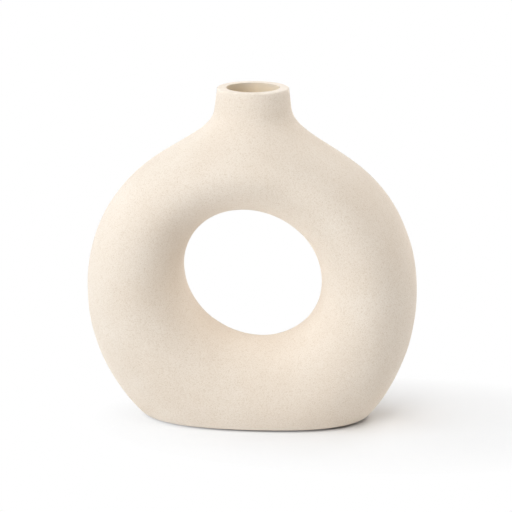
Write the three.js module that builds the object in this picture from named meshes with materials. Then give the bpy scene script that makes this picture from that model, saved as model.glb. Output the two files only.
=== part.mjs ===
// Ring vase of unglazed stoneware, in millimetres, +Z up, front towards -Y.
// Two moulded half shells meet on the plane y = 0, a neck collar is luted on above and a foot slab below.
// The origin is on the standing plane, under the middle of the ring.
import * as THREE from "three";

// Overall
const TOTAL_HEIGHT = 210;

// Outer outline of the ring, a slightly squared ellipse whose lower end is cut off by the foot
const RING_HALF_WIDTH = 103.3;
const RING_HALF_HEIGHT = 101;
const RING_CENTRE_HEIGHT = 81.5;
const RING_SQUARENESS = 2.1;
const RING_HALF_DEPTH = 41.5;
const FOOT_SHIFT = 2.3; // how far the foot sits to the right of the ring's middle
const FOOT_FLARE = 0.09; // share by which the ring is wider at the standing plane than its ellipse
const FOOT_FLARE_STEEPNESS = 5; // how fast that widening dies away upwards

// Oval hole through the ring
const HOLE_LONG_RADIUS = 44.5;
const HOLE_SHORT_RADIUS = 40.7;
const HOLE_TILT = -35; // degrees, so the long axis falls to the right
const HOLE_OFFSET = 0.6;
const HOLE_CENTRE_HEIGHT = 92.3;

// Neck, a short cone that flows into the shoulders
const NECK_RIM_RADIUS = 22.2;
const NECK_WIDENING = 0.12; // growth in radius for each millimetre below the rim
const NECK_OFFSET = 0.8;
const NECK_ROOT_HEIGHT = 168; // below this height the neck dies away in the ring
const NECK_ROOT_STEEPNESS = 2;
const NECK_BLEND = 60; // length over which neck and shoulder melt together
const COLLAR_HEIGHT = 18;
const RIM_EDGE_RADIUS = 1;

// Clay wall, foot and joints
const WALL = 6;
const SLIP = 0.8; // thickness of every slip layer
const FOOT_THICKNESS = 6;
const FOOT_EDGE_RADIUS = 1.4;

// Rubber pads under the foot
const PAD_THICKNESS = 1.2;
const PAD_RADIUS = 6;
const PAD_EDGE_RADIUS = 0.4;
const PAD_SETBACK = 7; // from the foot's edge to the pad's edge
const PAD_DIRECTION = 32; // degrees between the foot's long axis and a pad

// Fineness of the surfaces
const SIDE_STEPS = 22;
const NECK_STEPS = 8;
const FOOT_STEPS = 14;
const ACROSS_STEPS = 12;
const COLLAR_SIDES = 48;
const FOOT_SIDES = 56;
const WALL_STEPS = 4;
const ROUND_STEPS = 3;
const PAD_SIDES = 24;
const SEARCH_SAMPLES = 64;
const BISECTIONS = 48;

// Levels of the joints, from the standing plane upwards
const footTop = PAD_THICKNESS + FOOT_THICKNESS;
const shellBottom = footTop + SLIP;
const collarBottom = TOTAL_HEIGHT - COLLAR_HEIGHT;
const shellTop = collarBottom - SLIP;
const seamFace = SLIP / 2;
const outsideReach = RING_HALF_WIDTH + RING_HALF_DEPTH;

// Squared half-depth of the ring alone, an ellipse across its tube from the hole's edge to the outer edge.
function ringSquaredDepth(x, z, inset) {
  const tilt = THREE.MathUtils.degToRad(HOLE_TILT);
  const holeX = x - HOLE_OFFSET;
  const holeZ = z - HOLE_CENTRE_HEIGHT;
  const along = (holeX * Math.cos(tilt) + holeZ * Math.sin(tilt)) / (HOLE_LONG_RADIUS + inset);
  const cross = (holeZ * Math.cos(tilt) - holeX * Math.sin(tilt)) / (HOLE_SHORT_RADIUS + inset);
  const holeShare = Math.max(Math.hypot(along, cross), Number.EPSILON);
  const fromHole = Math.hypot(holeX, holeZ) * (1 - 1 / holeShare);

  const ringZ = z - RING_CENTRE_HEIGHT;
  const wide = Math.abs(x / (RING_HALF_WIDTH - inset)) ** RING_SQUARENESS;
  const tall = Math.abs(ringZ / (RING_HALF_HEIGHT - inset)) ** RING_SQUARENESS;
  const ringShare = Math.max((wide + tall) ** (1 / RING_SQUARENESS), Number.EPSILON);
  const toOutside = Math.hypot(x, ringZ) * (1 / ringShare - 1);

  const tubeWidth = fromHole + toOutside;
  const halfDepth = RING_HALF_DEPTH - inset;
  return (4 * halfDepth ** 2 * fromHole * toOutside) / tubeWidth ** 2;
}

// Squared half-depth of the neck alone, a cone about its own axis that fades below its root.
function neckSquaredDepth(x, z, inset) {
  const radius = NECK_RIM_RADIUS - inset + NECK_WIDENING * (TOTAL_HEIGHT - z);
  const fade = NECK_ROOT_STEEPNESS * Math.max(NECK_ROOT_HEIGHT - z, 0);
  return radius ** 2 - (x - NECK_OFFSET) ** 2 - fade ** 2;
}

// Squared half-depth of the vase over the point (x, z) of its middle plane: a smooth maximum of ring
// and neck. It is zero on the outline and negative outside it. An inset of one wall gives the hollow.
function squaredDepth(x, z, inset) {
  const below = Math.max(RING_CENTRE_HEIGHT - z, 0) / RING_CENTRE_HEIGHT;
  const widening = 1 + FOOT_FLARE * below ** FOOT_FLARE_STEEPNESS;
  const ring = ringSquaredDepth((x - FOOT_SHIFT * below ** 2) / widening, z, inset);
  const neck = neckSquaredDepth(x, z, inset);
  const blend = NECK_BLEND ** 2;
  const closeness = Math.max(blend - Math.abs(ring - neck), 0) / blend;
  return Math.max(ring, neck) + (blend * closeness ** 3) / 6;
}

// Last share at which inside(share) holds, between a share that is inside and one that is outside.
function lastInside(inside, within, without) {
  let good = within;
  let bad = without;
  for (let i = 0; i < BISECTIONS; i++) {
    const middle = (good + bad) / 2;
    if (inside(middle)) good = middle;
    else bad = middle;
  }
  return good;
}

// The share from 0 to 1 along a line at which the vase is deepest.
function deepestShare(depthAt) {
  let best = 0;
  for (let i = 1; i <= SEARCH_SAMPLES; i++) {
    const share = i / SEARCH_SAMPLES;
    if (depthAt(share) > depthAt(best)) best = share;
  }
  return best;
}

// Where the outline of the seam face lies at a height, on the right (side 1) or the left (side -1).
function outlineX(z, side, inset) {
  const xAt = (share) => NECK_OFFSET + side * outsideReach * share;
  const depthAt = (share) => squaredDepth(xAt(share), z, inset);
  const inside = (share) => depthAt(share) >= seamFace ** 2;
  return xAt(lastInside(inside, deepestShare(depthAt), 1));
}

// The outer edge of a half shell as a loop in the middle plane, in four stretches that share their corners:
// up the right side, over the neck joint, down the left side and along the foot joint.
function edgeStretches(inset) {
  const sidePoint = (side, share) => {
    const z = THREE.MathUtils.lerp(shellBottom, shellTop, share);
    return new THREE.Vector2(outlineX(z, side, inset), z);
  };
  const levelPoint = (z, fromSide, share) => {
    const right = outlineX(z, 1, inset);
    const left = outlineX(z, -1, inset);
    const swing = (fromSide * Math.cos(Math.PI * share)) / 2;
    return new THREE.Vector2((right + left) / 2 + (right - left) * swing, z);
  };
  const stretch = (steps, pointAt) =>
    Array.from({ length: steps + 1 }, (_, i) => pointAt(i / steps));
  return {
    right: stretch(SIDE_STEPS, (share) => sidePoint(1, share)),
    neck: stretch(NECK_STEPS, (share) => levelPoint(shellTop, 1, share)),
    left: stretch(SIDE_STEPS, (share) => sidePoint(-1, 1 - share)),
    foot: stretch(FOOT_STEPS, (share) => levelPoint(shellBottom, -1, share)),
  };
}

// The point of the hole's edge on the line from the middle of the hole to an outer edge point.
function holeEdgePoint(edge, inset) {
  const centre = new THREE.Vector2(HOLE_OFFSET, HOLE_CENTRE_HEIGHT);
  const pointAt = (share) => centre.clone().lerp(edge, share);
  const depthAt = (share) => squaredDepth(pointAt(share).x, pointAt(share).y, inset);
  const inside = (share) => depthAt(share) >= seamFace ** 2;
  return pointAt(lastInside(inside, deepestShare(depthAt), 0));
}

// Both edges of a half shell's outer surface (inset 0) or of its hollow (inset WALL).
function shellEdges(inset) {
  const stretches = edgeStretches(inset);
  const outer = ["right", "neck", "left", "foot"].flatMap((name) => stretches[name].slice(0, -1));
  const hole = outer.map((edge) => holeEdgePoint(edge, inset));
  return { stretches, outer, hole };
}

// Points across the front surface from the hole's edge to the outer edge, closer together at both ends.
function acrossShell(holePoint, outerPoint, inset) {
  return Array.from({ length: ACROSS_STEPS + 1 }, (_, j) => {
    const share = (1 - Math.cos((Math.PI * j) / ACROSS_STEPS)) / 2;
    const at = holePoint.clone().lerp(outerPoint, share);
    const depth = Math.sqrt(Math.max(squaredDepth(at.x, at.y, inset), seamFace ** 2));
    return new THREE.Vector3(at.x, -depth, at.y);
  });
}

// Closed surface through rings of points. The rings close on each other, or both ends are capped flat.
function surfaceThrough(rings, capped) {
  const around = rings[0].length;
  const points = rings.flat();
  const index = [];
  const bands = capped ? rings.length - 1 : rings.length;
  for (let i = 0; i < bands; i++) {
    for (let j = 0; j < around; j++) {
      const next = (j + 1) % around;
      const upper = ((i + 1) % rings.length) * around;
      index.push(i * around + j, i * around + next, upper + next);
      index.push(i * around + j, upper + next, upper + j);
    }
  }
  if (capped) {
    const lastRing = (rings.length - 1) * around;
    const bottomCentre = points.push(middleOf(rings[0])) - 1;
    const topCentre = points.push(middleOf(rings[rings.length - 1])) - 1;
    for (let j = 0; j < around; j++) {
      const next = (j + 1) % around;
      index.push(bottomCentre, next, j);
      index.push(topCentre, lastRing + j, lastRing + next);
    }
  }
  const geometry = new THREE.BufferGeometry().setFromPoints(points);
  geometry.setIndex(index);
  geometry.computeVertexNormals();
  return geometry;
}

function middleOf(ring) {
  const sum = ring.reduce((total, point) => total.add(point), new THREE.Vector3());
  return sum.divideScalar(ring.length);
}

// Ring of points where the vase's surface crosses a level, about the vertical axis at axisX.
// trim moves the points outwards, as rounded edges need.
function levelRing({ z, inset, trim }, axisX, sides) {
  return Array.from({ length: sides }, (_, i) => {
    const angle = (2 * Math.PI * i) / sides;
    const xAt = (share) => axisX + outsideReach * share * Math.cos(angle);
    const yAt = (share) => outsideReach * share * Math.sin(angle);
    const inside = (share) => squaredDepth(xAt(share), z, inset) >= yAt(share) ** 2;
    const edge = lastInside(inside, 0, 1) + trim / outsideReach;
    return new THREE.Vector3(xAt(edge), yAt(edge), z);
  });
}

// Half shell: its front surface, its hollow and the joint faces between their edges.
function shellGeometry(outside, hollow) {
  const sections = outside.outer.map((edge, i) => {
    const skin = acrossShell(outside.hole[i], edge, 0);
    const lining = acrossShell(hollow.hole[i], hollow.outer[i], WALL);
    return [...skin, ...lining.reverse()];
  });
  return surfaceThrough(sections, false);
}

// Slip layer on the seam: a flat plate in the middle plane between two outlines.
function seamGeometry(outline, opening) {
  const plate = new THREE.Shape(outline);
  if (opening) plate.holes.push(new THREE.Path(opening));
  const geometry = new THREE.ExtrudeGeometry(plate, { depth: SLIP, bevelEnabled: false });
  return geometry.rotateX(Math.PI / 2).translate(0, seamFace, 0);
}

function sideSeamGeometry(outsideStretch, hollowStretch) {
  return seamGeometry([...outsideStretch, ...hollowStretch.slice().reverse()]);
}

// Slip layer on a level joint: the wall's own section between two heights.
function levelSlipGeometry(bottom, top, axisX, sides) {
  const profile = [
    { z: bottom, inset: 0, trim: 0 },
    { z: top, inset: 0, trim: 0 },
    { z: top, inset: WALL, trim: 0 },
    { z: bottom, inset: WALL, trim: 0 },
  ];
  return surfaceThrough(profile.map((at) => levelRing(at, axisX, sides)), false);
}

// Neck collar: the neck's wall from the joint up to a flat rim with rounded edges.
function collarGeometry() {
  const wallTop = TOTAL_HEIGHT - RIM_EDGE_RADIUS;
  const side = Array.from({ length: WALL_STEPS }, (_, i) =>
    THREE.MathUtils.lerp(collarBottom, wallTop, i / WALL_STEPS));
  const turns = Array.from({ length: ROUND_STEPS + 1 }, (_, i) => (Math.PI * i) / (2 * ROUND_STEPS));
  const wallAndEdge = (inset, inwards) => [
    ...side.map((z) => ({ z, inset, trim: 0 })),
    ...turns.map((turn) => ({
      z: wallTop + RIM_EDGE_RADIUS * Math.sin(turn),
      inset,
      trim: inwards * RIM_EDGE_RADIUS * (1 - Math.cos(turn)),
    })),
  ];
  const profile = [...wallAndEdge(0, -1), ...wallAndEdge(WALL, 1).reverse()];
  return surfaceThrough(profile.map((at) => levelRing(at, NECK_OFFSET, COLLAR_SIDES)), false);
}

// Foot slab: a solid plate whose side carries the ring's outline down to a rounded lower edge.
function footGeometry() {
  const sideBottom = PAD_THICKNESS + FOOT_EDGE_RADIUS;
  const turns = Array.from({ length: ROUND_STEPS + 1 }, (_, i) => (Math.PI * i) / (2 * ROUND_STEPS));
  const profile = [
    ...turns.map((turn) => ({
      z: sideBottom - FOOT_EDGE_RADIUS * Math.cos(turn),
      inset: 0,
      trim: -FOOT_EDGE_RADIUS * (1 - Math.sin(turn)),
    })),
    ...Array.from({ length: WALL_STEPS }, (_, i) => ({
      z: THREE.MathUtils.lerp(sideBottom, footTop, (i + 1) / WALL_STEPS),
      inset: 0,
      trim: 0,
    })),
  ];
  return surfaceThrough(profile.map((at) => levelRing(at, FOOT_SHIFT, FOOT_SIDES)), true);
}

// Pad: a thin disc with a rounded lower edge, flat on the foot slab above and on the table below.
function padGeometry() {
  const round = Array.from({ length: ROUND_STEPS + 1 }, (_, i) => {
    const turn = (Math.PI * i) / (2 * ROUND_STEPS);
    const radius = PAD_RADIUS - PAD_EDGE_RADIUS * (1 - Math.sin(turn));
    return new THREE.Vector2(radius, PAD_EDGE_RADIUS * (1 - Math.cos(turn)));
  });
  const profile = [
    new THREE.Vector2(0, 0),
    ...round,
    new THREE.Vector2(PAD_RADIUS, PAD_THICKNESS),
    new THREE.Vector2(0, PAD_THICKNESS),
  ];
  return new THREE.LatheGeometry(profile, PAD_SIDES).rotateX(Math.PI / 2);
}

// Where a pad sits: along its direction from the foot's middle, set back from the foot's edge.
function padPosition(degrees) {
  const angle = THREE.MathUtils.degToRad(degrees);
  const xAt = (distance) => FOOT_SHIFT + distance * Math.cos(angle);
  const yAt = (distance) => distance * Math.sin(angle);
  const inside = (distance) => squaredDepth(xAt(distance), PAD_THICKNESS, 0) >= yAt(distance) ** 2;
  const distance = lastInside(inside, 0, outsideReach) - PAD_SETBACK - PAD_RADIUS;
  return new THREE.Vector3(xAt(distance), yAt(distance), 0);
}

// Finishes
const stoneware = { color: 0xeadecb, roughness: 0.9, metalness: 0 };
const driedSlip = { color: 0xe3d6c2, roughness: 0.92, metalness: 0 };
const padRubber = { color: 0x4b4640, roughness: 0.75, metalness: 0 };

const vase = new THREE.Group();

function addPiece(name, geometry, finish) {
  const piece = new THREE.Mesh(geometry, new THREE.MeshStandardMaterial(finish));
  piece.name = name;
  vase.add(piece);
  return piece;
}

// Half shells, the rear one a mirror image of the front one
const outside = shellEdges(0);
const hollow = shellEdges(WALL);
const halfShell = shellGeometry(outside, hollow);
addPiece("front_shell", halfShell, stoneware);
addPiece("rear_shell", halfShell.clone(), stoneware).scale.set(1, -1, 1);

// Slip on the seam between the half shells
const leftSeam = sideSeamGeometry(outside.stretches.left, hollow.stretches.left);
const rightSeam = sideSeamGeometry(outside.stretches.right, hollow.stretches.right);
addPiece("left_seam_slip", leftSeam, driedSlip);
addPiece("right_seam_slip", rightSeam, driedSlip);
addPiece("hole_seam_slip", seamGeometry(hollow.hole, outside.hole), driedSlip);

// Neck collar and foot slab, each on its slip
addPiece("neck_joint_slip", levelSlipGeometry(shellTop, collarBottom, NECK_OFFSET, COLLAR_SIDES), driedSlip);
addPiece("neck_collar", collarGeometry(), stoneware);
addPiece("foot_joint_slip", levelSlipGeometry(footTop, shellBottom, FOOT_SHIFT, FOOT_SIDES), driedSlip);
addPiece("foot_slab", footGeometry(), stoneware);

// Pads under the foot slab
const padDirections = {
  pad_rear_right: PAD_DIRECTION,
  pad_rear_left: 180 - PAD_DIRECTION,
  pad_front_left: 180 + PAD_DIRECTION,
  pad_front_right: 360 - PAD_DIRECTION,
};
for (const [name, degrees] of Object.entries(padDirections)) {
  addPiece(name, padGeometry(), padRubber).position.copy(padPosition(degrees));
}

export default vase;
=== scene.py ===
# %% [markdown]
# # A ring vase in unglazed stoneware
# The vase is a hollow clay ring with an oval hole through it, a short neck on top and a flat foot.
# A potter presses the two halves in moulds, lutes them together with liquid clay (slip), then adds the
# neck and the foot. Four thin pads keep the rough foot off the table.
#
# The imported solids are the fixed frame. They have the right form but large flat facets, so each one is
# replaced here by a much finer surface of the same form. Nothing is moved, and every piece keeps its own
# mesh.

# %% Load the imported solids
import math

import bpy
import numpy as np
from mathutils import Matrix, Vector


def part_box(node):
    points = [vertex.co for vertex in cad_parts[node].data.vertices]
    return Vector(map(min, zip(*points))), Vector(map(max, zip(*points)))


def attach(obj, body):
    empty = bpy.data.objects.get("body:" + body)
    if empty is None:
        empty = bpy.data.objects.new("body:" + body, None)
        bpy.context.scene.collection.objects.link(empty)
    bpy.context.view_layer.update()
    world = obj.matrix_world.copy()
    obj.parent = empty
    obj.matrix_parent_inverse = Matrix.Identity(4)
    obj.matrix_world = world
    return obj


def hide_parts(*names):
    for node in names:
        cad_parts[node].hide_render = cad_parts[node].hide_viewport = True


MM = 0.001

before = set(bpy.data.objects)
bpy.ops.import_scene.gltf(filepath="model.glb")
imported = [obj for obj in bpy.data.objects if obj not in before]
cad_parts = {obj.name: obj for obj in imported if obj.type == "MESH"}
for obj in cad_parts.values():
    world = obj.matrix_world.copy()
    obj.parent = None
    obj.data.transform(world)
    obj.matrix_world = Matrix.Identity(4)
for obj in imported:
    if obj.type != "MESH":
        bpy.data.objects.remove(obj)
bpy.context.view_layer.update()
print("solids:", ", ".join(sorted(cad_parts)))

# %% [markdown]
# ## Where the joints lie
# The halves meet on the upright plane y = 0, with a thin layer of slip between them. The neck and the foot
# sit on level cuts, again on slip. These levels could be typed in, but they are read from the solids' own
# boxes, so that the fine pieces meet each other exactly where the solids do.

# %% Levels of the joints
shell_bottom, shell_top = (corner.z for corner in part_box("front_shell"))
collar_bottom, rim_height = (corner.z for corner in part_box("neck_collar"))
foot_bottom, foot_top = (corner.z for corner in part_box("foot_slab"))
seam_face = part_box("hole_seam_slip")[1].y
joint_levels = (foot_bottom, foot_top, shell_bottom, shell_top, collar_bottom)
print("levels in mm:", [round(level / MM, 2) for level in joint_levels])

# %% [markdown]
# ## The form as one formula
# Seen from the front, every point (x, z) of the vase has a half-depth: how far the clay reaches towards the
# viewer. Across the tube of the ring that depth follows an ellipse, from the edge of the hole to the outer
# edge. The neck is a cone about its own axis. A smooth maximum lets the two flow into each other, as wet
# clay does.
#
# Modelling with a lattice or with sculpting would also give this shape. A formula is used because the
# hollow inside is then the same formula drawn in by one wall, and because it also gives exact normals for
# smooth shading.

# %% Ring and neck
RING_HALF_WIDTH = 103.3 * MM
RING_HALF_HEIGHT = 101 * MM
RING_CENTRE_HEIGHT = 81.5 * MM
RING_SQUARENESS = 2.1
RING_HALF_DEPTH = 41.5 * MM
FOOT_SHIFT = 2.3 * MM
FOOT_FLARE = 0.09
FOOT_FLARE_STEEPNESS = 5
HOLE_LONG_RADIUS = 44.5 * MM
HOLE_SHORT_RADIUS = 40.7 * MM
HOLE_TILT = math.radians(-35)
HOLE_OFFSET = 0.6 * MM
HOLE_CENTRE_HEIGHT = 92.3 * MM
NECK_RIM_RADIUS = 22.2 * MM
NECK_WIDENING = 0.12
NECK_OFFSET = 0.8 * MM
NECK_ROOT_HEIGHT = 168 * MM
NECK_ROOT_STEEPNESS = 2
NECK_BLEND = 60 * MM
WALL = 6 * MM
RIGHT_LEG = (74 * MM, 85 * MM)
TINY = 1e-12


def ring_squared_depth(x, z, inset):
    """Squared half-depth of the ring alone, 4 D^2 u v / (u + v)^2: u is the way from the hole's edge, v the
    way to the outer edge and D the half-depth in the middle of the tube. An inset draws all three in."""
    hole_x, hole_z = x - HOLE_OFFSET, z - HOLE_CENTRE_HEIGHT
    cosine, sine = math.cos(HOLE_TILT), math.sin(HOLE_TILT)
    along = (hole_x * cosine + hole_z * sine) / (HOLE_LONG_RADIUS + inset)
    across = (hole_z * cosine - hole_x * sine) / (HOLE_SHORT_RADIUS + inset)
    from_hole = np.hypot(hole_x, hole_z) * (1 - 1 / np.maximum(np.hypot(along, across), TINY))
    ring_z = z - RING_CENTRE_HEIGHT
    wide = np.abs(x / (RING_HALF_WIDTH - inset)) ** RING_SQUARENESS
    tall = np.abs(ring_z / (RING_HALF_HEIGHT - inset)) ** RING_SQUARENESS
    share = np.maximum((wide + tall) ** (1 / RING_SQUARENESS), TINY)
    to_outside = np.hypot(x, ring_z) * (1 / share - 1)
    return 4 * (RING_HALF_DEPTH - inset) ** 2 * from_hole * to_outside / (from_hole + to_outside) ** 2


def neck_squared_depth(x, z, inset):
    """Squared half-depth of the neck alone: radius^2 - x^2 of a cone that widens downwards and fades at its
    root."""
    radius = NECK_RIM_RADIUS - inset + NECK_WIDENING * (rim_height - z)
    fade = NECK_ROOT_STEEPNESS * np.maximum(NECK_ROOT_HEIGHT - z, 0)
    return radius**2 - (x - NECK_OFFSET) ** 2 - fade**2


def squared_depth(x, z, inset=0.0):
    """Squared half-depth M of the vase: the larger of ring and neck, plus k c^3 / 6 where they are within k
    of each other. M is zero on the outline and negative outside it. Towards the foot the ring leans a little
    to the right and widens."""
    below = np.maximum(RING_CENTRE_HEIGHT - z, 0) / RING_CENTRE_HEIGHT
    widening = 1 + FOOT_FLARE * below**FOOT_FLARE_STEEPNESS
    ring = ring_squared_depth((x - FOOT_SHIFT * below**2) / widening, z, inset)
    neck = neck_squared_depth(x, z, inset)
    blend = NECK_BLEND**2
    closeness = np.maximum(blend - np.abs(ring - neck), 0) / blend
    return np.maximum(ring, neck) + blend * closeness**3 / 6


leg_depth = 2 * math.sqrt(squared_depth(*np.array(RIGHT_LEG)))
print("depth through the right leg in mm:", round(leg_depth / MM, 1))

# %% [markdown]
# ## Normals and the touch of the hand
# A real moulded pot is never a perfect surface: sponging and drying leave shallow dents a few centimetres
# wide. They could be faked in the material, but then the outline would stay too perfect, so they are
# pressed into the mesh. Plane waves in random directions are added up, and every piece asks the same
# function, so the dents run on across the joints. They only go inwards, and they fade out at the foot,
# which has to stand flat.

# %% Normals of the formula, and the dents
SLOPE_STEP = 0.001 * MM
DENT_STEP = 0.05 * MM
DENT_LEAST = 0.08 * MM
DENT_DEPTH = 0.22 * MM
DENT_WAVES = 28
DENT_LENGTHS = (13 * MM, 42 * MM)
DENT_FADE = (2.5 * MM, 9 * MM)
DENT_SEED = 11

draw = np.random.default_rng(DENT_SEED)
wave_ways = draw.normal(size=(DENT_WAVES, 3))
wave_ways /= np.linalg.norm(wave_ways, axis=1, keepdims=True)
wave_lengths = np.exp(draw.uniform(*np.log(DENT_LENGTHS), DENT_WAVES))
wave_starts = draw.uniform(0, 2 * np.pi, DENT_WAVES)
wave_heights = wave_lengths / np.linalg.norm(wave_lengths)


def unit(vectors):
    """Vectors divided by their lengths."""
    return vectors / np.linalg.norm(vectors, axis=-1, keepdims=True)


def formula_normals(points, inset=0.0):
    """Unit normals of y^2 = M(x, z): the gradient of y^2 - M, with M's two slopes by central differences."""
    x, y, z = np.moveaxis(points, -1, 0)
    slope_x = squared_depth(x + SLOPE_STEP, z, inset) - squared_depth(x - SLOPE_STEP, z, inset)
    slope_z = squared_depth(x, z + SLOPE_STEP, inset) - squared_depth(x, z - SLOPE_STEP, inset)
    return unit(np.stack([-slope_x, 4 * SLOPE_STEP * y, -slope_z], axis=-1))


def dent_depth(points):
    """How far the surface is pressed in: a least depth plus a sum of sines, squeezed between 0 and
    DENT_DEPTH, times a fade at the foot."""
    phases = points @ (wave_ways * (2 * np.pi / wave_lengths)[:, None]).T + wave_starts
    swing = np.tanh(np.sin(phases) @ wave_heights)
    fade = np.clip((points[..., 2] - DENT_FADE[0]) / (DENT_FADE[1] - DENT_FADE[0]), 0, 1)
    return (DENT_LEAST + DENT_DEPTH * (swing + 1) / 2) * fade**2 * (3 - 2 * fade)


def hand_pressed(points, normals):
    """Points moved in by the dents, and normals tilted by the dents' slope along the surface."""
    steps = np.eye(3) * DENT_STEP
    rises = [dent_depth(points + step) - dent_depth(points - step) for step in steps]
    slopes = np.stack(rises, axis=-1) / (2 * DENT_STEP)
    along_surface = slopes - normals * (slopes * normals).sum(axis=-1, keepdims=True)
    return points - normals * dent_depth(points)[..., None], unit(normals + along_surface)


deepest_dent = DENT_LEAST + DENT_DEPTH
print("dents above the foot in mm: between", DENT_LEAST / MM, "and", round(deepest_dent / MM, 2))

# %% [markdown]
# ## From arrays to pieces
# Every surface below is a grid of points. One helper turns a grid into quads, another makes the mesh, turns
# its faces outwards, stores the exact normals and hangs the piece on the frame. Faces of the joints stay
# flat, because on the real pot they are plain cuts. Blender could guess the normals, but it would see an
# edge at each joint, and the smoothed joints of this vase must not show.

# %% Grid and mesh helpers
def grid_quads(rows, columns, wrap_rows=True):
    """Corner numbers of the cells of a grid, as an array (row bands, columns, 4). Columns always close in a
    ring."""
    row = np.arange(rows if wrap_rows else rows - 1)[:, None]
    column = np.arange(columns)[None, :]
    next_row, next_column = (row + 1) % rows, (column + 1) % columns
    corners = [(row, column), (row, next_column), (next_row, next_column), (next_row, column)]
    return np.stack([r * columns + c for r, c in corners], axis=-1)


def signed_volume(points, faces):
    """Volume inside a closed mesh, negative where its faces point inwards: the sum of its faces'
    tetrahedra."""
    first, second, third = points[faces[:, 0]], points[faces[:, 1:-1]], points[faces[:, 2:]]
    return (first[:, None] * np.cross(second, third)).sum() / 6


def add_piece(name, node, slot, points, normals, smooth_faces, flat_faces, marks=None):
    """Closed mesh from vertex and face arrays that stands for one solid. Smooth faces take the given
    normals. Marks are named values from 0 to 1 at each point, which the finish reads."""
    groups = [(faces, True) for faces in smooth_faces] + [(faces, False) for faces in flat_faces]
    if sum(signed_volume(points, faces) for faces, _ in groups) < 0:
        groups = [(faces[:, ::-1], smooth) for faces, smooth in groups]
    mesh = bpy.data.meshes.new(name)
    mesh.from_pydata(points.tolist(), [], [face for faces, _ in groups for face in faces.tolist()])
    smoothness = [np.full(len(faces), smooth) for faces, smooth in groups]
    mesh.polygons.foreach_set("use_smooth", np.concatenate(smoothness))
    corners = [
        normals[faces].reshape(-1, 3) if smooth else np.zeros((faces.size, 3)) for faces, smooth in groups
    ]
    mesh.normals_split_custom_set(np.concatenate(corners).tolist())
    for mark, values in (marks or {}).items():
        mesh.attributes.new(mark, "FLOAT", "POINT").data.foreach_set("value", values.astype(np.float32))
    piece = bpy.data.objects.new(name, mesh)
    bpy.context.collection.objects.link(piece)
    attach(piece, "root")
    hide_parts(node)
    triangles = sum(len(faces) * (faces.shape[1] - 2) for faces, _ in groups)
    print(f"{name}: {triangles} triangles")
    return piece


# %% [markdown]
# ## Edges of the halves
# Each half is bounded by two loops in the middle plane: the edge of the hole, and the outer edge, which runs
# up the right side, over the neck's cut, down the left side and along the foot's cut. A point of an edge is
# where the formula becomes as thin as the slip. There is no closed solution for that, so all points are
# found together by halving intervals.

# %% Outer edge and hole edge
SIDE_STEPS = 156
NECK_STEPS = 40
FOOT_STEPS = 84
SEARCH_SAMPLES = 96
HALVINGS = 46
OUTSIDE_REACH = RING_HALF_WIDTH + RING_HALF_DEPTH


def edge_on_lines(start, end, inset, towards):
    """Where each line from start to end leaves the vase, found by halving between the line's deepest point
    and its end (towards 1) or its start (towards 0)."""
    shares = np.linspace(0, 1, SEARCH_SAMPLES)
    tried = start[:, None] + (end - start)[:, None] * shares[:, None]
    inside = shares[squared_depth(tried[..., 0], tried[..., 1], inset).argmax(axis=1)]
    outside = np.full_like(inside, towards)
    for _ in range(HALVINGS):
        middle = (inside + outside) / 2
        point = start + (end - start) * middle[:, None]
        held = squared_depth(point[:, 0], point[:, 1], inset) >= seam_face**2
        inside, outside = np.where(held, middle, inside), np.where(held, outside, middle)
    return start + (end - start) * inside[:, None]


def side_edge(heights, side, inset):
    """Outline at the given heights, to the right (side 1) or to the left (side -1) of the neck's axis."""
    start = np.stack([np.full_like(heights, NECK_OFFSET), heights], axis=-1)
    return edge_on_lines(start, start + [side * OUTSIDE_REACH, 0], inset, 1)


def level_edge(right_end, left_end, steps, from_side):
    """Points of a level cut between its two ends, closer together at the ends, without the last point."""
    swing = from_side * np.cos(np.pi * np.arange(steps) / steps)[:, None]
    return (right_end + left_end) / 2 + (right_end - left_end) / 2 * swing


def half_edges(inset):
    """Right and left stretch, outer loop and hole loop of a half's skin (inset 0) or of its lining (inset
    WALL)."""
    heights = np.linspace(shell_bottom, shell_top, SIDE_STEPS + 1)
    right, left = side_edge(heights, 1, inset), side_edge(heights, -1, inset)
    neck = level_edge(right[-1], left[-1], NECK_STEPS, 1)
    foot = level_edge(right[0], left[0], FOOT_STEPS, -1)
    outer = np.concatenate([right[:-1], neck, left[:0:-1], foot])
    centre = np.broadcast_to([HOLE_OFFSET, HOLE_CENTRE_HEIGHT], outer.shape)
    hole = edge_on_lines(centre, outer, inset, 0)
    return {"right": right, "left": left, "outer": outer, "hole": hole}


outside = half_edges(0.0)
hollow = half_edges(WALL)
print("points round each half:", len(outside["outer"]))

# %% [markdown]
# ## The two halves
# A half is a skin and a lining. Both are functions of two parameters: which line from the middle of the hole
# to the outer edge, and how far along it. Points crowd together at both edges, where the surface turns
# fastest. The flat faces between skin and lining are the luted joints. The rear half is the same grid with y
# turned round, but the dents are pressed in afterwards, so the two halves aren't exact mirror images.

# %% Build the halves
SKIN_STEPS = 84
LINING_STEPS = 24


def across_half(edges, steps, inset, side):
    """Points from the hole's edge to the outer edge, at y = side * sqrt(M), spaced as the cosine of equal
    angles."""
    share = ((1 - np.cos(np.pi * np.arange(steps + 1) / steps)) / 2)[:, None, None]
    flat = edges["hole"] + (edges["outer"] - edges["hole"]) * share
    depth = np.sqrt(np.maximum(squared_depth(flat[..., 0], flat[..., 1], inset), seam_face**2))
    return np.stack([flat[..., 0], side * depth, flat[..., 1]], axis=-1)


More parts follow.
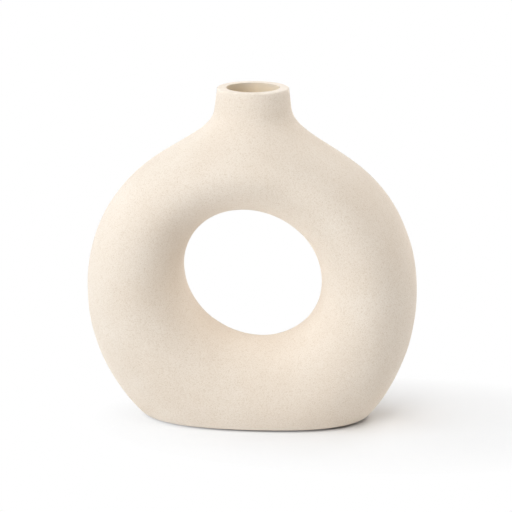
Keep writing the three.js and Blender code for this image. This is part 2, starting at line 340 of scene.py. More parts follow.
def build_half(name, node, side):
    """Half shell as a grid that closes both ways: skin outwards, joint, lining back again, joint at the
    hole."""
    skin = across_half(outside, SKIN_STEPS, 0.0, side)
    lining = across_half(hollow, LINING_STEPS, WALL, side)[::-1]
    skin, skin_normals = hand_pressed(skin, formula_normals(skin))
    points = np.concatenate([skin, lining])
    normals = np.concatenate([skin_normals, -formula_normals(lining, WALL)])
    quads = grid_quads(*points.shape[:2])
    smooth = np.delete(quads, [SKIN_STEPS, len(quads) - 1], axis=0)
    joints = quads[[SKIN_STEPS, len(quads) - 1]]
    # Painted light: 1 on the lining and 0 on the skin, for the lighter, warmer inside.
    sealed = np.repeat([0.0, 1.0], [skin[..., 0].size, lining[..., 0].size])
    all_points, all_normals = points.reshape(-1, 3), normals.reshape(-1, 3)
    faces = [smooth.reshape(-1, 4)], [joints.reshape(-1, 4)]
    return add_piece(name, node, "stoneware", all_points, all_normals, *faces, {"sealed": sealed})


front_half = build_half("front_half", "front_shell", -1)
rear_half = build_half("rear_half", "rear_shell", 1)

# %% [markdown]
# ## Slip on the upright seam
# Slip is clay stirred with water. A layer of it is brushed on both cuts before they are pressed together,
# and what squeezes out is wiped flush. So the slip's outer face continues the skin of the halves exactly: it
# uses the same edge points, the same dents and the same normals. A Solidify modifier on the edge would also
# make a thin bar, but not one that meets the skin so closely. There are three stretches: left side, right
# side and hole.

# %% Build the seam slip
def seam_section(outer_edge, inner_edge):
    """The four corners of the seam's section at each point: skin edge in front and behind, lining edge
    behind and in front."""
    edges = (outer_edge, outer_edge, inner_edge, inner_edge)
    depths = (-seam_face, seam_face, seam_face, -seam_face)
    points = np.stack([
        np.stack([edge[:, 0], np.full(len(edge), y), edge[:, 1]], axis=-1) for edge, y in zip(edges, depths)
    ])
    skin, skin_normals = hand_pressed(points[:2], formula_normals(points[:2]))
    lining_normals = -formula_normals(points[2:], WALL)
    return np.concatenate([skin, points[2:]]), np.concatenate([skin_normals, lining_normals])


def build_seam(name, node, outer_edge, inner_edge, closed):
    """Seam slip as a four-cornered bar along the edges, either closed in a ring or with two flat ends."""
    points, normals = seam_section(outer_edge, inner_edge)
    count = len(outer_edge)
    quads = grid_quads(4, count)
    if not closed:
        quads = quads[:, :-1]
    smooth, flat = quads[[0, 2]].reshape(-1, 4), quads[[1, 3]].reshape(-1, 4)
    ends = np.arange(4)[None, :] * count
    caps = [] if closed else [ends[:, ::-1], ends + count - 1]
    piece_points, piece_normals = points.reshape(-1, 3), normals.reshape(-1, 3)
    return add_piece(name, node, "joint_slip", piece_points, piece_normals, [smooth], [flat, *caps])


seams = [
    build_seam("right_seam", "right_seam_slip", outside["right"], hollow["right"], closed=False),
    build_seam("left_seam", "left_seam_slip", outside["left"], hollow["left"], closed=False),
    build_seam("hole_seam", "hole_seam_slip", outside["hole"], hollow["hole"], closed=True),
]

# %% [markdown]
# ## Level rings
# Neck, foot and their slip are cut by level planes, so each of them is a stack of level rings: a height, an
# inset and an angle give one point of the formula's surface. Boolean cuts of one large mesh would leave
# ragged edges, and a ring on each cut keeps them clean. Two marks are worked out here for the finish: how
# far an edge is paler from rubbing, which on the rim is also painted light, and where the foot's lowest
# edge is painted brown as painted shade under it.

# %% Rings, rounded edges and marks
RING_SIDES = 224
# Reach of the paler edges, which on the rim are also painted light.
WORN_AND_RIM_LIGHT_REACH = 5 * MM
# Height of the painted shade on the foot's lowest edge.
PAINTED_FOOT_SHADE_REACH = 0.6 * MM

ring_angles = 2 * np.pi * np.arange(RING_SIDES) / RING_SIDES
ring_rays = np.stack([np.cos(ring_angles), np.sin(ring_angles)], axis=-1)


def level_ring(height, inset, axis_x):
    """Ring where the surface crosses a height, found on rays from an upright axis by halving. The height can
    also be given for each ray."""
    inside, beyond = np.zeros(RING_SIDES), np.full(RING_SIDES, OUTSIDE_REACH)
    for _ in range(HALVINGS):
        middle = (inside + beyond) / 2
        x, y = (middle[:, None] * ring_rays).T
        held = squared_depth(axis_x + x, height, inset) >= y**2
        inside, beyond = np.where(held, middle, inside), np.where(held, beyond, middle)
    flat = inside[:, None] * ring_rays + [axis_x, 0]
    return np.concatenate([flat, np.broadcast_to(height, RING_SIDES)[:, None]], axis=1)


def level_rings(heights, inset, axis_x):
    """A stack of level rings."""
    return np.stack([level_ring(height, inset, axis_x) for height in heights])


def rounded_edge(wall_ring, wall_normals, radius, steps):
    """Quarter circle above a wall's last ring, turning away from the side that the wall faces, with normals
    that turn from the wall's to upright. Gives its rings and normals, without the wall's own ring."""
    turn = (np.pi / 2 * np.arange(1, steps + 1) / steps)[:, None, None]
    sideways = unit(wall_normals * [1, 1, 0])
    upright = np.array([0, 0, 1])
    rings = wall_ring - sideways * radius * (1 - np.cos(turn)) + upright * radius * np.sin(turn)
    return rings, unit(wall_normals * np.cos(turn) + upright * np.sin(turn))


def near_level(height, points, reach):
    """A mark that is 1 at a height and falls to 0 at a reach away from it, with the square of the way
    left."""
    return np.clip(1 - np.abs(points[:, 2] - height) / reach, 0, 1) ** 2


print("points round each level ring:", RING_SIDES)

# %% [markdown]
# ## Collar
# The neck is a short collar, thrown on a wheel. Its outer edge was rounded with a wet leather, and the edge
# of the mouth was only just broken with a fingertip. A profile with a Screw modifier would give a round
# collar, but this one isn't quite round at its root, where it flows into the ring, so its rings come from
# the formula too.

# %% Build the collar
RIM_EDGE_RADIUS = 1 * MM
MOUTH_EDGE_RADIUS = 0.4 * MM
RIM_EDGE_STEPS = 12
WALL_STEPS = 20
RIM_FACE_STEPS = 4


def collar_wall(edge_radius, inset):
    """Rings of the collar's wall (inset 0) or bore (inset WALL), up to where its rounded edge begins."""
    heights = np.linspace(collar_bottom, rim_height - edge_radius, WALL_STEPS + 1)
    return level_rings(heights, inset, NECK_OFFSET)


def build_collar():
    """Collar: outer wall, rounded edge, flat rim, rounded edge and bore, closed below by the joint's
    face."""
    wall, bore = collar_wall(RIM_EDGE_RADIUS, 0.0), collar_wall(MOUTH_EDGE_RADIUS, WALL)
    wall_normals, bore_normals = formula_normals(wall), -formula_normals(bore, WALL)
    lip, lip_normals = rounded_edge(wall[-1], wall_normals[-1], RIM_EDGE_RADIUS, RIM_EDGE_STEPS)
    mouth, mouth_normals = rounded_edge(bore[-1], bore_normals[-1], MOUTH_EDGE_RADIUS, RIM_EDGE_STEPS)
    share = np.linspace(0, 1, RIM_FACE_STEPS + 1)[1:-1, None, None]
    face = lip[-1] + (mouth[-1] - lip[-1]) * share
    face_normals = np.broadcast_to([0.0, 0.0, 1.0], face.shape)
    inner_normals = [mouth_normals[::-1], bore_normals[::-1]]
    points, normals = hand_pressed(
        np.concatenate([wall, lip, face, mouth[::-1], bore[::-1]]),
        np.concatenate([wall_normals, lip_normals, face_normals, *inner_normals]),
    )
    quads = grid_quads(*points.shape[:2])
    smooth, joint = quads[:-1].reshape(-1, 4), quads[-1]
    all_points, all_normals = points.reshape(-1, 3), normals.reshape(-1, 3)
    first_inside = len(points) - len(mouth) - len(bore)
    # Painted light inside: 0 on the rim, rising across the mouth's edge to 1 in the bore.
    painted_inside_rows = np.clip(np.arange(len(points)) - first_inside, 0, len(mouth)) / len(mouth)
    marks = {
        # The rim is paler from rubbing, and the paler colour is also painted light on its top.
        "worn": near_level(rim_height, all_points, WORN_AND_RIM_LIGHT_REACH),
        "sealed": np.repeat(painted_inside_rows, RING_SIDES),
    }
    faces = [smooth], [joint]
    return add_piece("collar", "neck_collar", "stoneware", all_points, all_normals, *faces, marks)


collar = build_collar()

# %% [markdown]
# ## Slip under the collar and over the foot
# The same slip joins the collar and the foot slab to the halves. Each layer is a short stretch of the vase's
# wall, with one skin ring and one lining ring at its top and at its bottom. It could be left out, because
# nobody is meant to see it, but then an open gap would show.

# %% Build the level slip layers
def build_level_slip(name, node, axis_x):
    """Slip layer on a level cut: the wall's own section between the two heights of its solid."""
    heights = [corner.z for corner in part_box(node)]
    skin, lining = level_rings(heights, 0.0, axis_x), level_rings(heights[::-1], WALL, axis_x)
    skin, skin_normals = hand_pressed(skin, formula_normals(skin))
    points = np.concatenate([skin, lining]).reshape(-1, 3)
    normals = np.concatenate([skin_normals, -formula_normals(lining, WALL)]).reshape(-1, 3)
    quads = grid_quads(4, RING_SIDES)
    smooth, flat = quads[[0, 2]].reshape(-1, 4), quads[[1, 3]].reshape(-1, 4)
    return add_piece(name, node, "joint_slip", points, normals, [smooth], [flat])


seams.append(build_level_slip("neck_joint", "neck_joint_slip", NECK_OFFSET))
seams.append(build_level_slip("foot_joint", "foot_joint_slip", FOOT_SHIFT))

# %% [markdown]
# ## Foot slab
# A flat slab closes the ring from below. Its lower edge was wiped with a sponge: hardly at all along the
# front and the back, more at the two ends, where the wall leans in. A Bevel modifier gives one width all
# round, so the edge is a parabola between the wall and the flat underside, and its height follows the angle.

# %% Discs, fans and the foot's edge
FOOT_EDGE_HEIGHT = 0.7 * MM
FOOT_END_HEIGHT = 2.2 * MM
FOOT_END_NARROWNESS = 8
FOOT_EDGE_STEPS = 10
FOOT_WALL_STEPS = 10
DISC_STEPS = 6
DOWN, UP = (0.0, 0.0, -1.0), (0.0, 0.0, 1.0)


def disc_rings(edge, middle):
    """Rings of a flat disc between its middle and its edge, from the inside outwards, without the edge
    itself."""
    share = (np.arange(1, DISC_STEPS) / DISC_STEPS)[:, None, None]
    return middle + (edge - middle) * share


def end_fans(rows, sides):
    """Triangles that close a stack of rings: from the second last point to the first ring, and from the last
    point to the last ring."""
    first_ring = np.arange(sides)[::-1]
    last_ring = np.arange((rows - 1) * sides, rows * sides)
    middles = rows * sides, rows * sides + 1
    return [
        np.stack([np.full_like(ring, middle), ring, np.roll(ring, -1)], axis=-1)
        for middle, ring in zip(middles, (first_ring, last_ring))
    ]


def foot_edge(wall_ring, wall_normals):
    """Lower edge as a parabola: it leaves along the wall, aims at the corner where the wall would meet the
    underside and ends flat, as far behind that corner. Its rings from the wall downwards, and their
    normals."""
    corner = level_ring(foot_bottom, 0.0, FOOT_SHIFT)
    reach = np.linalg.norm(corner - wall_ring, axis=-1, keepdims=True)
    flat_end = corner - unit(wall_normals * [1, 1, 0]) * reach
    share = (np.arange(1, FOOT_EDGE_STEPS + 1) / FOOT_EDGE_STEPS)[:, None, None]
    rings = (1 - share) ** 2 * wall_ring + 2 * share * (1 - share) * corner + share**2 * flat_end
    return rings, unit((1 - share) * wall_normals + share * DOWN)


at_ends = np.abs(np.cos(ring_angles)) ** FOOT_END_NARROWNESS
edge_top = foot_bottom + FOOT_EDGE_HEIGHT + (FOOT_END_HEIGHT - FOOT_EDGE_HEIGHT) * at_ends
edge_heights = (edge_top - foot_bottom) / MM
print("foot's edge in mm: from", round(edge_heights.min(), 2), "to", round(edge_heights.max(), 2))

# %% Build the foot slab
def build_foot():
    """Foot slab: a disc below, a rounded lower edge, the side wall and a disc above, closed by a fan at each
    end."""
    wall = level_rings(np.linspace(edge_top, foot_top, FOOT_WALL_STEPS + 1), 0.0, FOOT_SHIFT)
    wall_normals = formula_normals(wall)
    edge, edge_normals = foot_edge(wall[0], wall_normals[0])
    middles = np.array([(FOOT_SHIFT, 0, foot_bottom), (FOOT_SHIFT, 0, foot_top)])
    under, upper = disc_rings(edge[-1], middles[0]), disc_rings(wall[-1], middles[1])[::-1]
    side, side_normals = hand_pressed(
        np.concatenate([edge[::-1], wall]), np.concatenate([edge_normals[::-1], wall_normals])
    )
    rings = np.concatenate([under, side, upper])
    normals = np.concatenate([np.full(under.shape, DOWN), side_normals, np.full(upper.shape, UP)])
    points = np.concatenate([rings.reshape(-1, 3), middles])
    all_normals = np.concatenate([normals.reshape(-1, 3), [DOWN, UP]])
    quads = grid_quads(*rings.shape[:2], wrap_rows=False)
    first_flat = len(under) + len(side) - 1
    smooth, flat = quads[:first_flat].reshape(-1, 4), quads[first_flat:].reshape(-1, 4)
    faces = [smooth], [flat, *end_fans(*rings.shape[:2])]
    # Foot: paler from rubbing near the ground, and painted shade, brown, on the lowest edge and underside.
    reaches = {"worn": WORN_AND_RIM_LIGHT_REACH, "toasted": PAINTED_FOOT_SHADE_REACH}
    marks = {mark: near_level(foot_bottom, points, reach) for mark, reach in reaches.items()}
    return add_piece("foot", "foot_slab", "stoneware", points, all_normals, *faces, marks)


foot = build_foot()

# %% [markdown]
# ## Pads
# Rough stoneware would scratch a table, so such a vase is sold with four thin stick-on pads. They are what
# leaves the dark line of shadow all along the foot. A bevelled cylinder would do as well, but here each pad
# is a profile turned about its own axis, like the other pieces. Its size and place come from the solid's
# box.

# %% Build the pads
PAD_SIDES = 96
PAD_EDGE_RADIUS = 0.4 * MM
PAD_EDGE_STEPS = 6


def build_pad(node):
    """Pad: a profile (radius, height) turned about an upright axis, with a rounded lower edge, closed by two
    fans."""
    low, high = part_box(node)
    middle, radius = (low + high) / 2, (high.x - low.x) / 2
    turn = np.pi / 2 * np.arange(PAD_EDGE_STEPS + 1) / PAD_EDGE_STEPS
    radii = np.concatenate([radius - PAD_EDGE_RADIUS * (1 - np.sin(turn)), [radius]])
    heights = np.concatenate([low.z + PAD_EDGE_RADIUS * (1 - np.cos(turn)), [high.z]])
    angle = 2 * np.pi * np.arange(PAD_SIDES) / PAD_SIDES
    around = np.stack([np.cos(angle), np.sin(angle)], axis=-1)
    flat = radii[:, None, None] * around + [middle.x, middle.y]
    one_value = (*flat.shape[:2], 1)
    rings = np.concatenate([flat, np.broadcast_to(heights[:, None, None], one_value)], axis=-1)
    ends = np.array([(middle.x, middle.y, low.z), (middle.x, middle.y, high.z)])
    points = np.concatenate([rings.reshape(-1, 3), ends])
    lean = np.concatenate([-np.cos(turn), [0]])[:, None, None]
    sideways = np.sqrt(1 - lean**2) * around
    normals = np.concatenate([sideways, np.broadcast_to(lean, one_value)], axis=-1)
    all_normals = np.concatenate([normals.reshape(-1, 3), [DOWN, UP]])
    smooth = grid_quads(*rings.shape[:2], wrap_rows=False).reshape(-1, 4)
    faces = [smooth], end_fans(*rings.shape[:2])
    return add_piece(f"foot_{node}", node, "pad_rubber", points, all_normals, *faces)


pads = [build_pad(node) for node in sorted(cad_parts) if node.startswith("pad_")]

# %% [markdown]
# ## Helpers for finishes
# A finish is a tree of nodes that ends in a shader. Trees can be wired by hand in Blender's editor. Written
# down, each step needs a node, its values and its links, so a few helpers do that and give back the socket
# that the next step takes.

# %% Node helpers
SCREEN_TOE = 0.04045
SCREEN_TOE_SLOPE = 12.92
SCREEN_OFFSET = 0.055
SCREEN_POWER = 2.4


def linear_colour(red, green, blue):
    """A colour as painters' software writes it (0 to 255), in the linear light that shaders use: a straight
    line for the darkest values and a power above them."""
    shares = np.array([red, green, blue]) / 255
    curve = ((shares + SCREEN_OFFSET) / (1 + SCREEN_OFFSET)) ** SCREEN_POWER
    light = np.where(shares <= SCREEN_TOE, shares / SCREEN_TOE_SLOPE, curve)
    return (*light.tolist(), 1.0)


def new_finish(name):
    """Material with only its principled shader and output, and its node tree."""
    material = bpy.data.materials.new(name)
    material.use_nodes = True
    return material, material.node_tree


def fill(tree, socket, value):
    """Gives a socket a link where the value is another socket, and otherwise the plain value."""
    if isinstance(value, bpy.types.NodeSocket):
        tree.links.new(value, socket)
    else:
        socket.default_value = value


def add_node(tree, kind, settings=None, **inputs):
    """Node with its settings and the values or links of its inputs, which are named with _ for a space."""
    node = tree.nodes.new(kind)
    for key, value in (settings or {}).items():
        setattr(node, key, value)
    for key, value in inputs.items():
        fill(tree, node.inputs[key.replace("_", " ")], value)
    return node


def cloud(tree, place, size, detail, roughness=0.5):
    """Soft noise whose largest blotches are about one size across, from 0 to 1."""
    values = {"Scale": 1 / size, "Detail": detail, "Roughness": roughness}
    return add_node(tree, "ShaderNodeTexNoise", Vector=place, **values).outputs["Fac"]


def cells(tree, place, size):
    """Cells of about one size, each with its own random colour and with the distance from its middle."""
    return add_node(tree, "ShaderNodeTexVoronoi", Vector=place, Scale=1 / size).outputs


def red_of(tree, colour):
    """The red share of a colour, as a random number for each cell."""
    return add_node(tree, "ShaderNodeSeparateColor", Color=colour).outputs["Red"]


def mark_of(tree, name):
    """A mark that was stored at the points, and 0 on a piece without it."""
    return add_node(tree, "ShaderNodeAttribute", {"attribute_name": name}).outputs["Fac"]


def spread(tree, value, limits, to_limits=(0, 1)):
    """The value's range between two limits, moved to another range and held there."""
    ends = dict(zip(("From_Min", "From_Max", "To_Min", "To_Max"), (*limits, *to_limits)))
    return add_node(tree, "ShaderNodeMapRange", Value=value, **ends).outputs["Result"]


def blend_colours(tree, share, first, second):
    """One colour over another, by a share from 0 to 1."""
    node = add_node(tree, "ShaderNodeMix", {"data_type": "RGBA"})
    for socket, value in zip((node.inputs[0], node.inputs[6], node.inputs[7]), (share, first, second)):
        fill(tree, socket, value)
    return node.outputs[2]


def sums(tree, way, first, second):
    """A sum, product or other calculation on two values."""
    node = add_node(tree, "ShaderNodeMath", {"operation": way})
    for socket, value in zip(node.inputs, (first, second)):
        fill(tree, socket, value)
    return node.outputs[0]


def dress(pieces, material):
    """Gives each piece its one material."""
    for piece in pieces:
        piece.data.materials.append(material)


print("colour of white paper in linear light:", linear_colour(255, 255, 255)[:3])

# %% [markdown]
# ## Fired clay
# The clay is a pale cream stoneware, left without glaze. Close up it is a fine sandy skin: grains of about
# half a millimetre, slightly lighter or darker than the clay between them, soft clouds a few centimetres
# wide from uneven firing, and now and then a faint speck of iron. It is dull, so highlights are wide and
# faint. Edges are paler from rubbing, and on the rim the paler colour is also painted light. The foot's
# lowest edge and underside are painted brown as painted shade under the foot. The inside is painted lighter
# and warmer, as painted light that comes in through the mouth.
#
# A photograph wrapped round the vase could give all that, but nodes on Object coordinates need no picture
# and have no seam. The coordinates are in metres, so a texture's scale is one over the size of its grains.

# %% Colours and sizes of the clay
CLAY_PALE = linear_colour(242, 233, 222)
CLAY_WARM = linear_colour(237, 226, 213)
GRAIN_DARK = linear_colour(212, 196, 175)
GRAIN_LIGHT = linear_colour(251, 245, 236)
# Paler from rubbing, and on the rim also painted light on its top.
RUBBED_AND_RIM_LIGHT = linear_colour(245, 236, 225)
# Painted shade: brown on the foot's lowest edge and underside, where the shade under the foot falls.
PAINTED_FOOT_SHADE = linear_colour(168, 141, 113)
IRON_SPECK = linear_colour(160, 136, 110)
# Painted light: the inside is lighter and warmer than the clay, as light that comes in through the mouth.
PAINTED_INSIDE_LIGHT = linear_colour(253, 239, 216)
CLOUD_SIZE = 34 * MM
CLOUD_DETAIL = 3
CLOUD_LIMITS = (0.32, 0.68)
SHADE_SIZE = 9 * MM
SHADE_DETAIL = 2
SHADE_LIMITS = (0.35, 0.7)
SHADE_MOST = 0.3
GRAIN_SIZE = 0.5 * MM
GRAIN_DETAIL = 2
GRAIN_CRISPNESS = 0.6
DARK_GRAIN_LIMITS = (0.36, 0.54)
LIGHT_GRAIN_LIMITS = (0.52, 0.68)
SAND_SIZE = 0.55 * MM
SAND_LIMITS = (0.84, 0.88)
SAND_STRENGTH = 1.2
RUB_LIMITS = (0.35, 0.6)
RUB_LEAST = 0.4
SPECK_SPACING = 3.2 * MM
SPECK_CHOICE = (0.99, 0.992)
SPECK_EDGE = (0.07, 0.14)
SPECK_STRENGTH = 0.4
print("clay in linear light:", [round(share, 3) for share in CLAY_PALE[:3]])

# %% Sandy clay
DULLNESS_LIMITS = (0.3, 0.7)
DULLNESS = (0.97, 0.84)
RUBBED_GLOSS = 0.15
CLAY_SPECULAR = 0.28
CLAY_DIFFUSE_ROUGHNESS = 0.4
SAND_PIT_DEPTH = -0.35
SHADE_SWELL = 0.8


def clay_colour(tree, place, shades, grains, sand, rubbed_and_rim_light, grain_share):
    """Clay colour in layers: clouds and shades, dark and light grains, single dark grains of sand, then the
    painted light inside, edges paler from rubbing with painted light on the rim, painted shade under the
    foot, and last the specks of iron."""
    specks = cells(tree, place, SPECK_SPACING)
    chosen = spread(tree, red_of(tree, specks["Color"]), SPECK_CHOICE)
    round_speck = spread(tree, specks["Distance"], SPECK_EDGE, (SPECK_STRENGTH, 0))
    single_grains = spread(tree, red_of(tree, sand["Color"]), SAND_LIMITS, (0, SAND_STRENGTH * grain_share))
    clouds = spread(tree, cloud(tree, place, CLOUD_SIZE, CLOUD_DETAIL), CLOUD_LIMITS)
    layers = [
        (clouds, CLAY_WARM),
        (spread(tree, shades, SHADE_LIMITS, (0, SHADE_MOST)), CLAY_WARM),
        (spread(tree, grains, DARK_GRAIN_LIMITS, (grain_share, 0)), GRAIN_DARK),
        (spread(tree, grains, LIGHT_GRAIN_LIMITS, (0, grain_share)), GRAIN_LIGHT),
        (single_grains, GRAIN_DARK),
        # Painted light inside the vase.
        (mark_of(tree, "sealed"), PAINTED_INSIDE_LIGHT),
        # Paler from rubbing, and painted light on the rim.
        (rubbed_and_rim_light, RUBBED_AND_RIM_LIGHT),
        # Painted shade under the foot.
        (mark_of(tree, "toasted"), PAINTED_FOOT_SHADE),
        (sums(tree, "MULTIPLY", chosen, round_speck), IRON_SPECK),
    ]
    colour = CLAY_PALE
    for share, layer in layers:
        colour = blend_colours(tree, share, colour, layer)
    return colour


def sandy_clay(name, grain_share, grain_height):
    """Clay finish: its layered colour, a dull roughness that follows the grains, and a sandy bump."""
    material, tree = new_finish(name)
    shader = tree.nodes["Principled BSDF"]
    place = add_node(tree, "ShaderNodeTexCoord").outputs["Object"]
    shades = cloud(tree, place, SHADE_SIZE, SHADE_DETAIL)
    grains = cloud(tree, place, GRAIN_SIZE, GRAIN_DETAIL, GRAIN_CRISPNESS)
    sand = cells(tree, place, SAND_SIZE)
    # Paler edges, uneven along the edge; on the rim they are also painted light.
    uneven_rub = spread(tree, shades, RUB_LIMITS, (RUB_LEAST, 1))
    rubbed_and_rim_light = sums(tree, "MULTIPLY", mark_of(tree, "worn"), uneven_rub)
    colour = clay_colour(tree, place, shades, grains, sand, rubbed_and_rim_light, grain_share)

    dullness = spread(tree, grains, DULLNESS_LIMITS, DULLNESS)
    roughness = sums(tree, "SUBTRACT", dullness, sums(tree, "MULTIPLY", rubbed_and_rim_light, RUBBED_GLOSS))
    pits = sums(tree, "ADD", grains, sums(tree, "MULTIPLY", sand["Distance"], SAND_PIT_DEPTH))
    height = sums(tree, "ADD", pits, sums(tree, "MULTIPLY", shades, SHADE_SWELL))
    bump = add_node(tree, "ShaderNodeBump", Strength=1.0, Distance=grain_height, Height=height)
    fill(tree, shader.inputs["Base Color"], colour)
    fill(tree, shader.inputs["Roughness"], roughness)
    fill(tree, shader.inputs["Specular IOR Level"], CLAY_SPECULAR)
    fill(tree, shader.inputs["Diffuse Roughness"], CLAY_DIFFUSE_ROUGHNESS)
    fill(tree, shader.inputs["Normal"], bump.outputs["Normal"])
    return material


stoneware = sandy_clay("fired_stoneware", grain_share=0.28, grain_height=0.06 * MM)
fired_slip = sandy_clay("fired_slip", grain_share=0.26, grain_height=0.055 * MM)
dress([front_half, rear_half, collar, foot], stoneware)
dress(seams, fired_slip)
print("clay finishes:", stoneware.name, fired_slip.name)

# %% [markdown]
# ## Pad rubber
# The pads are die-cut from dark, brownish grey rubber: dull, slightly dusty, with a faint moulded grain. One
# plain colour would do for pieces that hardly show, but the same helpers give the dust and the grain at no
# cost.

# %% Rubber finish
RUBBER_DARK = linear_colour(66, 61, 56)
RUBBER_DUSTY = linear_colour(98, 92, 85)
RUBBER_GRAIN_SIZE = 0.35 * MM
RUBBER_GRAIN_DETAIL = 2
RUBBER_GRAIN_HEIGHT = 0.04 * MM
RUBBER_GRAIN_STRENGTH = 0.6
DUST_SIZE = 3 * MM
DUST_DETAIL = 4
DUST_CRISPNESS = 0.6
DUST_LIMITS = (0.45, 0.7)
DUST_MOST = 0.6
DUST_DULLNESS_LIMITS = (0.4, 0.7)
DUST_DULLNESS = (0.6, 0.85)


def dusty_rubber(name):
    """Rubber finish: dark rubber under patches of dust, which are also duller, and a fine bump."""
    material, tree = new_finish(name)
    shader = tree.nodes["Principled BSDF"]
    place = add_node(tree, "ShaderNodeTexCoord").outputs["Object"]
    dust = cloud(tree, place, DUST_SIZE, DUST_DETAIL, DUST_CRISPNESS)
    dusty = spread(tree, dust, DUST_LIMITS, (0, DUST_MOST))
    bump = add_node(
        tree,
        "ShaderNodeBump",
        Strength=RUBBER_GRAIN_STRENGTH,
        Distance=RUBBER_GRAIN_HEIGHT,
        Height=cloud(tree, place, RUBBER_GRAIN_SIZE, RUBBER_GRAIN_DETAIL),
    )
    fill(tree, shader.inputs["Base Color"], blend_colours(tree, dusty, RUBBER_DARK, RUBBER_DUSTY))
    fill(tree, shader.inputs["Roughness"], spread(tree, dust, DUST_DULLNESS_LIMITS, DUST_DULLNESS))
    fill(tree, shader.inputs["Normal"], bump.outputs["Normal"])
    return material


dress(pads, dusty_rubber("pad_rubber_grey"))
print("pads dressed:", len(pads))

# %% [markdown]
# ## Floor and backdrop
# The vase stands on white card that fills the whole picture. Under studio light white card is a little
# darker than the white of the picture, so what the camera sees of it fades to plain white away from the
# vase's shadow. The light that it throws back on the vase stays that of plain card. The fade is an oval,
# long to the right, where the shadow lies, and it leaves out the ground under the foot, so that the dark
# line of the gap stays. A picture editor would do the same with a mask. Here two ovals on the card's own
# coordinates are enough.

# %% Lay the card
FLOOR_HALF_WIDTH = 8.0

floor_mesh = bpy.data.meshes.new("white_card")
floor_corners = FLOOR_HALF_WIDTH * np.array([(-1, -1, 0), (1, -1, 0), (1, 1, 0), (-1, 1, 0)])
floor_mesh.from_pydata(floor_corners.tolist(), [], [(0, 1, 2, 3)])
floor = bpy.data.objects.new("white_card", floor_mesh)
bpy.context.collection.objects.link(floor)
print("card in m:", 2 * FLOOR_HALF_WIDTH)

# %% Card finish
CARD_COLOUR = (0.95, 0.95, 0.95, 1.0)
CARD_SEEN = (0.885, 0.902, 0.925, 1.0)
SHADOW_CENTRE = (0.075, -0.012, 0)
SHADOW_HALF_SIZE = (0.205, 0.12, 1)
SHADOW_FADE = (0.15, 0.85)
FOOT_FADE = (0.82, 0.95)


def seen_directly(tree):
    """1 for what the camera sees, also in a reflection or through glass, and 0 for light on its way."""
    paths = tree.nodes.new("ShaderNodeLightPath").outputs
    seen = sums(tree, "MAXIMUM", paths["Is Camera Ray"], paths["Is Glossy Ray"])
    return sums(tree, "MAXIMUM", seen, paths["Is Transmission Ray"])


def share_of_oval(tree, place, centre, half_size):
    """How far out a place is in a level oval: 0 in its middle, 1 on its edge and more outside."""
    moved = add_node(tree, "ShaderNodeVectorMath", {"operation": "SUBTRACT"}, Vector=place)
    fill(tree, moved.inputs[1], centre)
    scaled = add_node(tree, "ShaderNodeVectorMath", {"operation": "DIVIDE"}, Vector=moved.outputs["Vector"])
    fill(tree, scaled.inputs[1], half_size)
    length = add_node(tree, "ShaderNodeVectorMath", {"operation": "LENGTH"}, Vector=scaled.outputs["Vector"])
    return length.outputs["Value"]


def fading_card(name, foot_centre, foot_half_size):
    """Card finish: lit card, and plain white for the camera outside the shadow's oval and the foot's
    oval."""
    material, tree = new_finish(name)
    tree.nodes.remove(tree.nodes["Principled BSDF"])
    seen = seen_directly(tree)
    colour = blend_colours(tree, seen, CARD_COLOUR, CARD_SEEN)
    lit_card = add_node(tree, "ShaderNodeBsdfDiffuse", Color=colour).outputs["BSDF"]
    plain_white = add_node(tree, "ShaderNodeEmission", Strength=1.0).outputs["Emission"]
    place = add_node(tree, "ShaderNodeTexCoord").outputs["Object"]
    past_shadow = spread(tree, share_of_oval(tree, place, SHADOW_CENTRE, SHADOW_HALF_SIZE), SHADOW_FADE)
    past_foot = spread(tree, share_of_oval(tree, place, foot_centre, foot_half_size), FOOT_FADE)
    bare = sums(tree, "MULTIPLY", seen, sums(tree, "MULTIPLY", past_shadow, past_foot))
    mix = tree.nodes.new("ShaderNodeMixShader")
    for socket, value in zip(mix.inputs, (bare, lit_card, plain_white)):
        fill(tree, socket, value)
    fill(tree, tree.nodes["Material Output"].inputs["Surface"], mix.outputs["Shader"])
    return material


foot_low, foot_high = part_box("foot_slab")
foot_middle, foot_half = (foot_low + foot_high) / 2, (foot_high - foot_low) / 2
foot_oval = (foot_middle.x, foot_middle.y, 0), (foot_half.x, foot_half.y, 1)
dress([floor], fading_card("white_card_finish", *foot_oval))
print("foot on the card in mm:", [round(2 * half / MM, 1) for half in foot_half.xy])

# %% [markdown]
# ## Light
# The picture has soft light from the left and from above. The left side is brightest, the right side lies in
# a warm shade, and light from behind grazes both outer edges. Seven large area lamps stand round the vase
# for that. A bright world would also be soft, but it would fill the shadow on the card, so the world is
# almost dark. The lamps' power is set so that a colour renders about as it is written.

# %% Set up the lamps
AIM = Vector((0, 0, 0.1))
LAMP_DISTANCE = 2.0
LAMP_WIDTH = 1.2
LAMP_HEIGHT = 0.9
WHITE = (1.0, 1.0, 1.0)
WARM = (1.0, 0.96, 0.91)
COOL = (0.96, 0.985, 1.0)


def add_softbox(name, azimuth, elevation, power, tint):
    """Area lamp that faces the vase. Azimuth 0 is in front of the vase, 90 to its right, in degrees, and the
    power is in watts."""
    turn, lift = math.radians(azimuth), math.radians(elevation)
    way = Vector((math.sin(turn) * math.cos(lift), -math.cos(turn) * math.cos(lift), math.sin(lift)))
    lamp = bpy.data.lights.new(name, "AREA")
    lamp.shape = "RECTANGLE"
    lamp.size, lamp.size_y = LAMP_WIDTH, LAMP_HEIGHT
    lamp.energy, lamp.color = power, tint
    box = bpy.data.objects.new(name, lamp)
    box.location = AIM + way * LAMP_DISTANCE
    box.rotation_euler = (-way).to_track_quat("-Z", "Y").to_euler()
    box.visible_camera = False
    bpy.context.collection.objects.link(box)
    return box


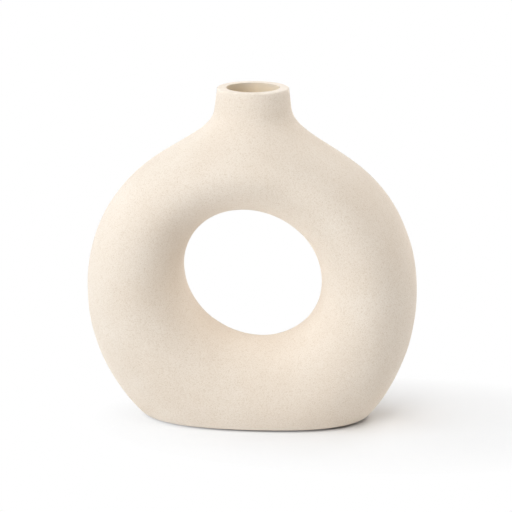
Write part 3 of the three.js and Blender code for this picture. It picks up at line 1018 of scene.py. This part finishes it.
softboxes = [
    add_softbox("left_rear_box", -120, 10, 11.6, WHITE),
    add_softbox("left_box", -60, 35, 10.6, COOL),
    add_softbox("front_box", -30, 20, 13.8, COOL),
    add_softbox("high_right_box", 18, 60, 14.6, WARM),
    add_softbox("right_rear_box", 120, 10, 16.5, WARM),
    add_softbox("rear_box", 150, 35, 11.5, WHITE),
    add_softbox("overhead_box", 0, 88, 7, WHITE),
]
print("lamps:", [lamp.name for lamp in softboxes])

# %% White room
WORLD_STRENGTH = 0.02

world = bpy.data.worlds.new("white_room")
world.use_nodes = True
bpy.context.scene.world = world
room = world.node_tree
background = room.nodes["Background"]
fill(room, background.inputs["Color"], (1, 1, 1, 1))
room_strength = spread(room, seen_directly(room), (0, 1), (WORLD_STRENGTH, 1))
fill(room, background.inputs["Strength"], room_strength)
print("world's light on the vase:", WORLD_STRENGTH)

# %% [markdown]
# ## Camera
# The photograph was taken from a little above and slightly to the right, with a long lens, as the round
# mouth and the foot's edge show. A shifted lens could frame it, but the other views keep such a shift, so
# the camera looks a few millimetres past the middle of the vase instead.

# %% Place the camera
VIEW_AZIMUTH = math.radians(5.2)
VIEW_ELEVATION = math.radians(14.32)
VIEW_DISTANCE = 1.6
LENS = 180.2
AIM_RIGHT = 2.65 * MM
AIM_UP = 2.9 * MM

back = Vector((
    math.sin(VIEW_AZIMUTH) * math.cos(VIEW_ELEVATION),
    -math.cos(VIEW_AZIMUTH) * math.cos(VIEW_ELEVATION),
    math.sin(VIEW_ELEVATION),
))
rightwards = Vector((math.cos(VIEW_AZIMUTH), math.sin(VIEW_AZIMUTH), 0))
upwards = back.cross(rightwards)
camera_data = bpy.data.cameras.new("photo_camera")
camera_data.lens = LENS
camera = bpy.data.objects.new("photo_camera", camera_data)
camera.location = AIM + back * VIEW_DISTANCE
looks_at = AIM + rightwards * AIM_RIGHT + upwards * AIM_UP
camera.rotation_euler = (looks_at - camera.location).to_track_quat("-Z", "Y").to_euler()
bpy.context.collection.objects.link(camera)
bpy.context.scene.camera = camera
bpy.context.scene.view_settings.view_transform = "Standard"
print("camera at", [round(v, 3) for v in camera.location])
